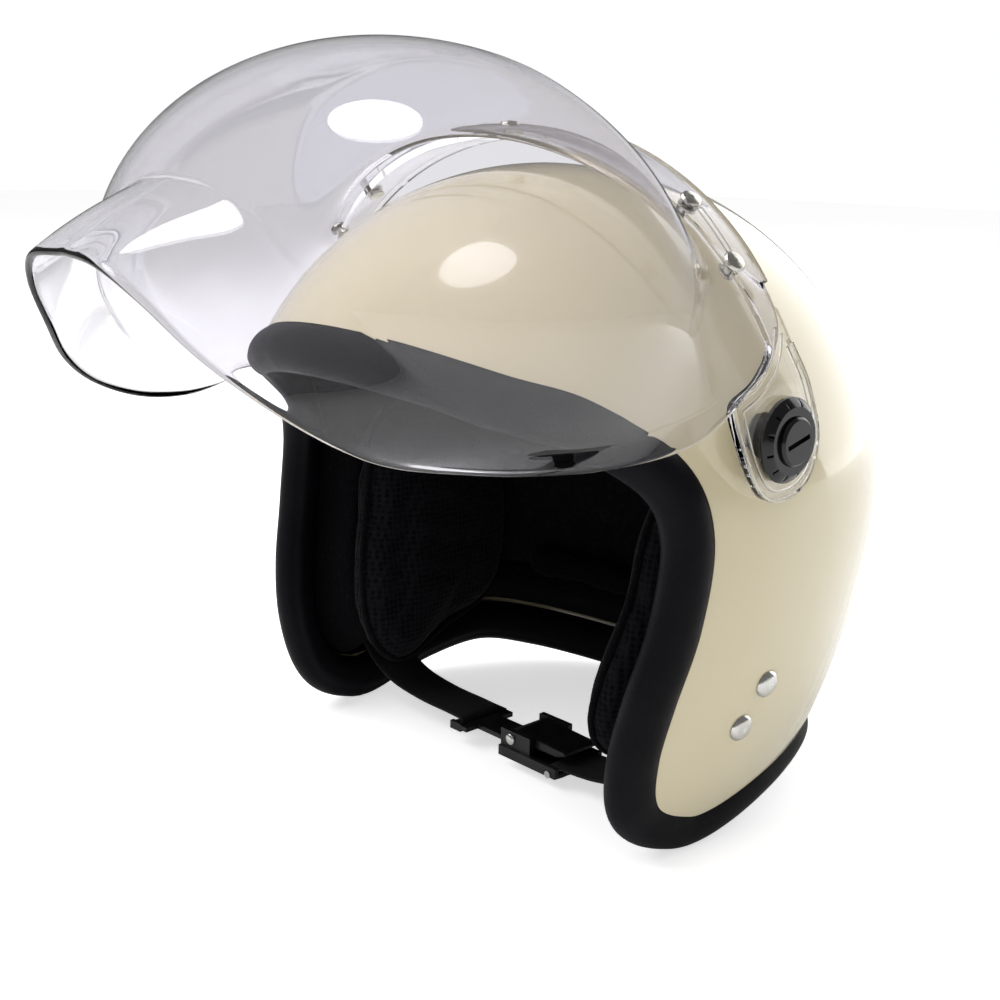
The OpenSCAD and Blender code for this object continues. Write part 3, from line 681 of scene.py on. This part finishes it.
def cheek_pads():
    shares = [0.55, 0.02, 0.0, 0.03, 0.10, 0.20, 0.34, 0.52, 0.75]
    deep = CHEEK_T - 2
    crown = [min(1, (t / 0.42)) for t in shares[3:]]
    depths = [SOFT_GAP, SOFT_GAP, 4.5] + [lerp(7.5, deep, math.sin(math.pi / 2 * c) ** 0.6)
                                          for c in crown]
    rings = cheek_rings(shares, depths)
    n = len(rings[0])
    tips = [liner_point(*CHEEK_MID, SOFT_GAP), liner_point(*CHEEK_MID, deep)]
    v = np.vstack(rings + [np.array(tips)])
    f = grid_faces(len(rings), n, wrap_cols=True)
    last = (len(rings) - 1) * n
    f += [(last + k, last + (k + 1) % n, len(v) - 1) for k in range(n)]
    f += [((k + 1) % n, k, len(v) - 2) for k in range(n)]
    p, q = simulated("cheek", worn(v), f, 0.0045, 0.005)
    p = inside_liner(smooth_points(p, q, 2), SOFT_GAP - 0.3)
    # two sewn channels down the face of the pad
    for y in (-19.0, 16.0):
        z = np.linspace(-88, 6, 90)
        line = worn(liner_point(np.full(90, y), z, CHEEK_T - 1))
        inward = np.array([1.0, 0, 0])
        p = groove(p, line, 0.0042, 0.0036, inward)
    # piping round the front of the pad
    ring = cheek_rings([0.035], [9.0], 220)[0]
    pv, pf = tube(worn(ring), 0.0016, 8, closed=True)
    for side, name in ((1, "left"), (-1, "right")):
        pts = p * [side, 1, 1]
        ob = mesh_piece(f"cheek_cushion_{name}", pts, q, MAT["mesh_fabric"], "helmet",
                        None, [f"cheek_pad_{name}"])
        subdivided(ob)
        mesh_piece(f"cheek_piping_{name}", pv * [side, 1, 1], pf, MAT["lining_fabric"], "helmet")


cheek_pads()


def brow_cushion():
    reach = 0.32
    sec = rounded(5.0, 33.0, 22, 2.4)
    v, f = bar(-reach, reach, sec, LINER - SOFT_GAP, LINER - 10.0, 90)
    p, q = simulated("brow", worn(v), f, 0.0045, 0.004)
    p = inside_liner(smooth_points(p, q, 2), SOFT_GAP - 0.3)
    s = np.linspace(-reach * 0.98, reach * 0.98, 160)
    for inset in (14.5, 24.0):
        line = on_dome(edge_dirn(s, inset), LINER - 10.5)
        centre = worn(np.array([0, -10.0, 30.0]))
        out = unit(p - centre)
        p = groove(p, worn(line), 0.0032, 0.0030, out)
    ob = mesh_piece("brow_cushion", p, q, MAT["mesh_fabric"], "helmet", None,
                    ["brow_pad"])
    subdivided(ob)


brow_cushion()


def neck_cushion():
    sec = rounded(5.0, 25.0, 20, 2.4)
    s0 = 0.8
    a = bar(s0, 1.0, sec, LINER - SOFT_GAP, LINER - 13.0, 40)
    b = bar(-1.0, -s0, sec, LINER - SOFT_GAP, LINER - 13.0, 40)
    va = a[0].reshape(40, -1, 3)
    vb = b[0].reshape(40, -1, 3)
    v = np.vstack([va, vb[1:]])
    m = v.shape[1]
    f = grid_faces(len(v), m, wrap_cols=True)
    f += [tuple(range(m)), tuple((len(v) - 1) * m + j for j in reversed(range(m)))]
    p, q = simulated("neck", worn(v.reshape(-1, 3)), f, 0.0045, 0.004)
    p = inside_liner(smooth_points(p, q, 2), SOFT_GAP - 0.3)
    ob = mesh_piece("neck_cushion", p, q, MAT["lining_fabric"], "helmet", None,
                    ["neck_roll"])
    subdivided(ob)


neck_cushion()


def crown_cushion():
    """Quilted crown lining: panels parted by sewn seams."""
    around, rings = 220, 46
    tilt, lead, low = math.radians(33.7), 14.0, 26.0
    plane_n = np.array([0, math.sin(tilt), math.cos(tilt)])
    d = LINER - SOFT_GAP
    k = np.arange(around) * 2 * math.pi / around
    top = unit(plane_n + np.array([0, 0, 0.6]))
    e1 = np.array([1.0, 0, 0])
    e2 = np.cross(top, e1)
    reach = np.zeros(around)
    for i, a in enumerate(k):
        for w in np.linspace(0.05, 2.2, 260):
            q = math.cos(w) * top + math.sin(w) * (math.cos(a) * e1 + math.sin(a) * e2)
            p = on_dome(q[None], d)[0]
            if p[2] < low + 1.5 or p @ plane_n < lead + 1.5:
                break
            reach[i] = w
    reach = np.convolve(np.r_[reach[-3:], reach, reach[:3]], np.ones(7) / 7, "valid")
    pts, inner = [], []
    for j in range(1, rings + 1):
        w = (reach * j / rings)[:, None]
        q = np.cos(w) * top + np.sin(w) * (np.cos(k)[:, None] * e1 + np.sin(k)[:, None] * e2)
        edge = (1 - j / rings) * reach / 0.14
        edge = np.clip(edge, 0, 1) ** 0.5
        x = on_dome(q, d)[:, 0]
        seam = np.minimum.reduce([np.abs(np.abs(x) - 27.0), np.abs(w[:, 0] - 0.42) * 90])
        thick = 1.2 + (5.6 - 3.0 * np.exp(-(seam / 3.2) ** 2)) * edge
        pts.append(on_dome(q, d))
        inner.append(np.stack([on_dome(q[i:i + 1], d - thick[i])[0] for i in range(around)]))
    outer = np.vstack(pts + [on_dome(top[None], d)])
    inner = np.vstack(inner + [on_dome(top[None], d - 6.5)])
    n = around * rings
    f = []
    for base in (0, n + 1):
        f += [tuple(base + i for i in q) for q in grid_faces(rings, around, wrap_cols=True)]
        f += [(base + n, base + i, base + (i + 1) % around) for i in range(around)]
    a, b = (rings - 1) * around, n + 1 + (rings - 1) * around
    f += [(a + i, a + (i + 1) % around, b + (i + 1) % around, b + i) for i in range(around)]
    ob = mesh_piece("crown_cushion", worn(np.vstack([outer, inner])), f, MAT["lining_fabric"],
                    "helmet", None, ["crown_liner"])


crown_cushion()

# ---------------------------------------------------------------- chin strap
BUCKLE_X, BAR_X, BAR_Z, BAR_R = 17.5, 15.0, 6.0, 1.5
TONGUE_BAR_X, TONGUE_BAR_Z = -42.0, 8.5
FALL = np.array([[108.6, 76], [104.8, 57], [99.5, 41], [91.8, 29], [83.5, 20.5], [70, 14.2]])


def web_path(bar):
    ring = BAR_R + 0.15
    top = bar + np.array([0, ring + WEB_T / 2 + 0.1])
    pts = np.vstack([FALL, (top + FALL[-1]) / 2 + [4, -1], top + [8.4, 0.2], top])
    main = spline(pts, np.linspace(0, len(pts) - 1, 330))
    a = np.linspace(90, 372, 90)
    loop = bar + (ring + WEB_T / 2 + 0.05) * np.stack(
        [np.cos(np.radians(a)), np.sin(np.radians(a))], -1)
    return np.vstack([main, loop[1:]])


def webbing(name, bar, mirror, node):
    path = web_path(np.asarray(bar, float))
    step = np.r_[0, np.cumsum(np.linalg.norm(np.diff(path, axis=0), axis=1))]
    s = np.arange(0, step[-1], 0.42)
    path = np.stack([np.interp(s, step, path[:, i]) for i in (0, 1)], -1)
    d = unit(np.gradient(path, axis=0))
    n = np.stack([-d[:, 1], d[:, 0]], -1)
    across = np.linspace(-1, 1, 27)
    half = WEB_T / 2 * (1 - 0.45 * np.abs(across) ** 8)
    v = []
    for side in (1, -1):
        for j, w in enumerate(across if side > 0 else across[::-1]):
            h = half[j if side > 0 else -1 - j]
            twill = 0.075 * np.sin(2 * math.pi * (s / 1.7 + abs(w) * 2.6)) * (1 - abs(w) ** 10)
            y = STRAP_Y + w * WEB_W / 2
            off = side * (h - 0.09 + twill)
            v.append(np.stack([path[:, 0] + n[:, 0] * off, np.full(len(s), y),
                               path[:, 1] + n[:, 1] * off], -1))
    v = np.stack(v, 1) / 1000
    m = v.shape[1]
    f = grid_faces(len(v), m, wrap_cols=True)
    f += [tuple(range(m)), tuple((len(v) - 1) * m + j for j in reversed(range(m)))]
    v = v.reshape(-1, 3) * [-1 if mirror else 1, 1, 1]
    mesh_piece(name, v, f, MAT["webbing"], "helmet", None, [node])
    # bar tacks that close the loop
    parts = []
    near = np.linalg.norm(path - np.asarray(bar), axis=1)
    first = np.argmin(np.abs(near[: int(len(near) * 0.8)] - 11.0))
    for row in range(3):
        i = max(first - row * 7, 0)
        for w in np.linspace(-0.78, 0.78, 15):
            c = path[i] + n[i] * (WEB_T / 2 + 0.02)
            e = path[i - 5] + n[i - 5] * (WEB_T / 2 + 0.02)
            y = STRAP_Y + w * WEB_W / 2
            seg = np.array([[c[0], y, c[1]], [(c[0] + e[0]) / 2, y + 0.5, (c[1] + e[1]) / 2 + 0.12],
                            [e[0], y + 0.9, e[1]]]) / 1000
            parts.append(tube(seg * [-1 if mirror else 1, 1, 1], 0.00022, 5))
    v, f = join(parts)
    mesh_piece(name + "_stitching", v, f, MAT["lining_fabric"], "helmet")


webbing("webbing_left", [BUCKLE_X + BAR_X, BAR_Z], False, "strap_left")
webbing("webbing_right", [-BUCKLE_X - TONGUE_BAR_X, TONGUE_BAR_Z], True, "strap_right")

# ---------------------------------------------------------------- visor
FLANGE_HI, FLANGE_LO, FLANGE_SPAN, FLANGE_PART = 77.5, (60.5, 74.5), 60.0, 0.12
STEP_PART, LIP_FROM, LIP_POWER, SIDE_POWER, SIDE_BOW = 0.2, 0.84, 1.25, 4, 0.028
LENS_MID = FRAME_T + LENS_GAP + LENS_T / 2


def about_hinge(off, ps, th):
    ps, th = np.radians(ps), np.radians(th)
    r = (FRAME_R + off) * np.cos(ps)
    return np.stack([(FRAME_HW + off) * np.sin(ps), HINGE[0] - r * np.cos(th),
                     HINGE[1] + r * np.sin(th)], -1)


def rim_at(u):
    q = spline(RIM, np.abs(u) * (len(RIM) - 1))
    return np.stack([np.sign(u) * q[:, 0], q[:, 1], q[:, 2]], -1)


def flange_end(u):
    return lerp(FLANGE_LO[0], FLANGE_LO[1], np.abs(u) ** 8)


def lens_pt(u, s):
    u, s = (np.asarray(x, float).ravel() for x in np.broadcast_arrays(u, s))
    g = (about_hinge(LENS_MID, FLANGE_SPAN * u, flange_end(u)) - BUBBLE_C) / BUBBLE
    f = (rim_at(u) - BUBBLE_C) / BUBBLE
    ng, nf = np.linalg.norm(g, axis=1), np.linalg.norm(f, axis=1)
    t = np.clip((s - FLANGE_PART) / (1 - FLANGE_PART), 0, 1)
    bulge = 1 + (ng - 1) * (1 - ease(t / STEP_PART)) \
        + (nf - 1) * np.clip((t - LIP_FROM) / (1 - LIP_FROM), 0, 1) ** LIP_POWER
    side = lerp(ng, nf, t) + SIDE_BOW * np.sin(math.pi * t)
    m = lerp(bulge, side, np.abs(u) ** SIDE_POWER)
    p = slerp(g / ng[:, None], f / nf[:, None], t[:, None]) * m[:, None] * BUBBLE + BUBBLE_C
    fl = about_hinge(LENS_MID, FLANGE_SPAN * u,
                     lerp(FLANGE_HI, flange_end(u), np.clip(s / FLANGE_PART, 0, 1)))
    return np.where((s < FLANGE_PART)[:, None], fl, p)


def bubble_lens():
    nu = 240
    u = np.linspace(-1, 1, nu)
    fold = FLANGE_PART
    lip = FLANGE_PART + (1 - FLANGE_PART) * LIP_FROM
    s = np.r_[np.linspace(0, fold, 9)[:-1], np.linspace(fold, lip, 84)[:-1],
              np.linspace(lip, 1, 26)]
    U, S = np.meshgrid(u, s, indexing="ij")
    P = lens_pt(U, S).reshape(nu, len(s), 3)
    e = 0.004
    du = lens_pt(np.minimum(1, U + e), S) - lens_pt(np.maximum(-1, U - e), S)
    ds = lens_pt(U, np.minimum(1, S + e)) - lens_pt(U, np.maximum(0, S - e))
    N = unit(np.cross(ds, du)).reshape(nu, len(s), 3)
    T = unit(ds).reshape(nu, len(s), 3)
    half = LENS_T / 2 * (1 + 0.08 * ease((s - 0.978) / 0.022))
    outer = P + N * half[None, :, None]
    inner = P - N * half[None, :, None]
    cap = [P[:, -1] + half[-1] * (math.cos(a) * T[:, -1] + math.sin(a) * N[:, -1])
           for a in np.radians([60, 30, 0, -30, -60])]
    back = [P[:, 0] + half[0] * (-math.cos(a) * T[:, 0] + math.sin(a) * N[:, 0])
            for a in np.radians([-50, 0, 50])]
    loop = np.concatenate([outer, np.stack(cap, 1), inner[:, ::-1], np.stack(back, 1)], 1)
    m = loop.shape[1]
    f = grid_faces(nu, m, wrap_cols=True)
    n, nc = len(s), len(cap)
    for col in (0, nu - 1):
        b = col * m
        for i in range(n - 1):
            f.append((b + i, b + i + 1, b + 2 * n + nc - 2 - i, b + 2 * n + nc - 1 - i))
        f.append(tuple(b + i for i in range(n - 1, n + nc + 1)))
        f.append(tuple(b + i % m for i in range(2 * n + nc - 1, m + 1)))
    return mesh_piece("bubble_lens", worn(loop.reshape(-1, 3)), f, MAT["clear_lens"], "visor",
                      50, ["visor_lens"])


bubble_lens()


def frame_x(r, off):
    curve = (FRAME_HW + off) * np.sqrt(np.maximum(0, 1 - (r / (FRAME_R + off)) ** 2))
    level = ARM_LEVEL + off
    return (curve + level - np.sqrt((curve - level) ** 2 + ARM_SOFT ** 2)) / 2


def arm_line(inset, off, n=260):
    """Outline of the arm moved in by inset, on the frame's surface raised by off."""
    q = spline(ARM, np.linspace(0.9, len(ARM) - 1.9, n))
    t = unit(np.gradient(q, axis=0))
    q = q + inset * np.stack([-t[:, 1], t[:, 0]], -1)
    r = np.hypot(q[:, 0], q[:, 1])
    return np.stack([frame_x(r, off), q[:, 0] + HINGE[0], q[:, 1] + HINGE[1]], -1)


def visor_details():
    parts = []
    for side in (1, -1):
        flip = np.array([side, 1, 1])
        for inset, r in ((0.6, 0.75), (3.9, 0.5)):
            line = worn(arm_line(inset, FRAME_T + 0.1) * flip)
            parts.append(tube(line, r / 1000, 8, up=[side, 0, 0]))
        # long slot between the two rivets
        ps = np.linspace(43.6, 53.4, 40)
        th = np.interp(ps, [41.5, 55.5], [71.0, 67.0])
        w = 1.0
        a = np.r_[ps, ps[::-1]]
        b = np.r_[th + w, th[::-1] - w]
        line = about_hinge(LENS_MID + LENS_T / 2 + 0.1, a, b) * flip
        parts.append(tube(worn(line), 0.00032, 6, closed=True, up=[side, 0, 0]))
    v, f = join(parts)
    mesh_piece("visor_arch_ridges", v, f, MAT["clear_frame"], "visor")


visor_details()

# ---------------------------------------------------------------- CAD parts that stay
KEEP = {
    "foam_liner": ("foam", 0), "pivot_spacers": ("black_plastic", 0.0003),
    "pivot_bushes": ("steel", 0), "tee_nuts": ("steel", 0.0002), "hinge_screws": ("steel", 0),
    "knob_bases": ("knob_plastic", 0.00025), "knob_caps": ("knob_plastic", 0.0002),
    "visor_frame": ("clear_frame", 0), "frame_rivets": ("clear_rivet", 0.0002),
    "strap_rivets": ("nickel", 0.0002), "anchor_plates": ("steel", 0.0002),
    "buckle_body": ("black_plastic", 0.0005), "buckle_bar": ("nickel", 0),
    "lever_pin": ("nickel", 0.0002), "buckle_lever": ("black_plastic", 0.0005),
    "buckle_tongue": ("black_plastic", 0.0003)}
for node, (finish, round_by) in KEEP.items():
    ob = NODES[node]
    ob.data.materials.clear()
    ob.data.materials.append(MAT[finish])
    weld = ob.modifiers.new("weld", "WELD")
    weld.merge_threshold = 0.00001
    if round_by:
        bev = ob.modifiers.new("round", "BEVEL")
        bev.width = round_by
        bev.segments = 2
        bev.limit_method = "ANGLE"
        bev.angle_limit = math.radians(35)
        bev.harden_normals = False

# ---------------------------------------------------------------- stage, light, camera
CAMERA_TIP = math.radians(1.3)
CAMERA_RIGHT, CAMERA_UP = (0.6829, 0.7305, 0.0052), (-0.1935, 0.1740, 0.9656)
CAMERA_EYE = (0.39286, -0.40202, 0.13906)
CAMERA_LENS, CAMERA_SENSOR = 50.45, 36


def tip(v):
    """A point or direction turned about X from the frame the camera was set in."""
    a = CAMERA_TIP
    return Vector((v[0], v[1] * math.cos(a) - v[2] * math.sin(a),
                   v[1] * math.sin(a) + v[2] * math.cos(a)))


def make_camera():
    right = tip(CAMERA_RIGHT)
    up = tip(CAMERA_UP)
    back = right.cross(up).normalized()
    up = back.cross(right).normalized()
    right.normalize()
    eye = tip(CAMERA_EYE) + Vector(STAND / 1000)
    data = bpy.data.cameras.new("photo_camera")
    data.sensor_width = CAMERA_SENSOR
    data.sensor_fit = "AUTO"
    data.lens = CAMERA_LENS
    data.clip_start = 0.01
    cam = bpy.data.objects.new("photo_camera", data)
    m = Matrix((right, up, back)).transposed().to_4x4()
    m.translation = eye
    cam.matrix_world = m
    bpy.context.scene.collection.objects.link(cam)
    bpy.context.scene.camera = cam


make_camera()


def area_light(name, at, to, size, power):
    data = bpy.data.lights.new(name, "AREA")
    data.shape = "DISK"
    data.size = size
    data.energy = power
    ob = bpy.data.objects.new(name, data)
    ob.location = at
    ob.rotation_mode = "QUATERNION"
    ob.rotation_quaternion = (Vector(to) - Vector(at)).to_track_quat("-Z", "Y")
    bpy.context.scene.collection.objects.link(ob)
    return ob


FLOOR_HALF, FLOOR_DROP = 6.0, 0.0002
FLOOR_GLOW, FLOOR_GLOW_SEEN = 0.06, 0.62
WORLD_DIFFUSE, WORLD_GLOSSY, WORLD_SEEN = 0.38, 0.18, 1.02


def chosen(nt, fac, low, high):
    """Value that goes from low to high as fac goes from 0 to 1; low is a number or a socket."""
    pick = nt.nodes.new("ShaderNodeMapRange")
    if isinstance(low, float):
        pick.inputs["To Min"].default_value = low
    else:
        link(nt, low, pick.inputs["To Min"])
    pick.inputs["To Max"].default_value = high
    link(nt, fac, pick.inputs["Value"])
    return pick.outputs["Result"]


def seen_rays(nt):
    """Light path node, and a socket that is 1 for what the camera sees, straight or through."""
    path = nt.nodes.new("ShaderNodeLightPath")
    seen = nt.nodes.new("ShaderNodeMath")
    seen.operation = "MAXIMUM"
    link(nt, path.outputs["Is Camera Ray"], seen.inputs[0])
    link(nt, path.outputs["Is Transmission Ray"], seen.inputs[1])
    return path, seen.outputs[0]


def make_floor():
    me = bpy.data.meshes.new("floor")
    r = FLOOR_HALF
    me.from_pydata([(-r, -r, 0), (r, -r, 0), (r, r, 0), (-r, r, 0)], [], [(0, 1, 2, 3)])
    m, nt, p = nodes_of("pale_floor")
    link(nt, ramp(nt, noise(nt, coords(nt), 3, 2), [(0.3, 0.93), (0.7, 0.95)]),
         p.inputs["Base Color"])
    p.inputs["Roughness"].default_value = 0.9
    p.inputs["Specular IOR Level"].default_value = 0.1
    p.inputs["Emission Color"].default_value = (1, 1, 1, 1)
    seen = seen_rays(nt)[1]
    link(nt, chosen(nt, seen, FLOOR_GLOW, FLOOR_GLOW_SEEN), p.inputs["Emission Strength"])
    me.materials.append(m)
    ob = bpy.data.objects.new("floor", me)
    ob.location.z = -FLOOR_DROP
    bpy.context.scene.collection.objects.link(ob)


def make_world():
    world = bpy.data.worlds.new("studio")
    world.use_nodes = True
    nt = world.node_tree
    bg = nt.nodes["Background"]
    bg.inputs["Color"].default_value = (1, 1, 1, 1)
    path, seen = seen_rays(nt)
    unseen = chosen(nt, path.outputs["Is Glossy Ray"], WORLD_DIFFUSE, WORLD_GLOSSY)
    link(nt, chosen(nt, seen, unseen, WORLD_SEEN), bg.inputs["Strength"])
    bpy.context.scene.world = world
    bpy.context.scene.view_settings.view_transform = "Standard"


make_floor()
make_world()
lens_lamp = area_light("lens_softbox", (-0.278, -0.241, 1.504), (0.06, -0.106, 0.256), 0.52, 4.5)
lit = bpy.data.collections.new("lens_only")
lit.objects.link(bpy.data.objects["bubble_lens"])
lens_lamp.light_linking.receiver_collection = lit
key = area_light("key_soft", (-0.9, -0.6, 1.75), (0, -0.05, 0.15), 2.4, 44)
rim = area_light("rim_softbox", (0.1, 1.7, 0.6), (0.05, 0.05, 0.16), 2.2, 22)
solid = bpy.data.collections.new("all_but_clear")
for ob in bpy.context.scene.objects:
    if ob.type == "MESH" and not ob.name.startswith(("bubble", "visor")):
        solid.objects.link(ob)
for lamp in (key, rim):
    lamp.light_linking.receiver_collection = solid
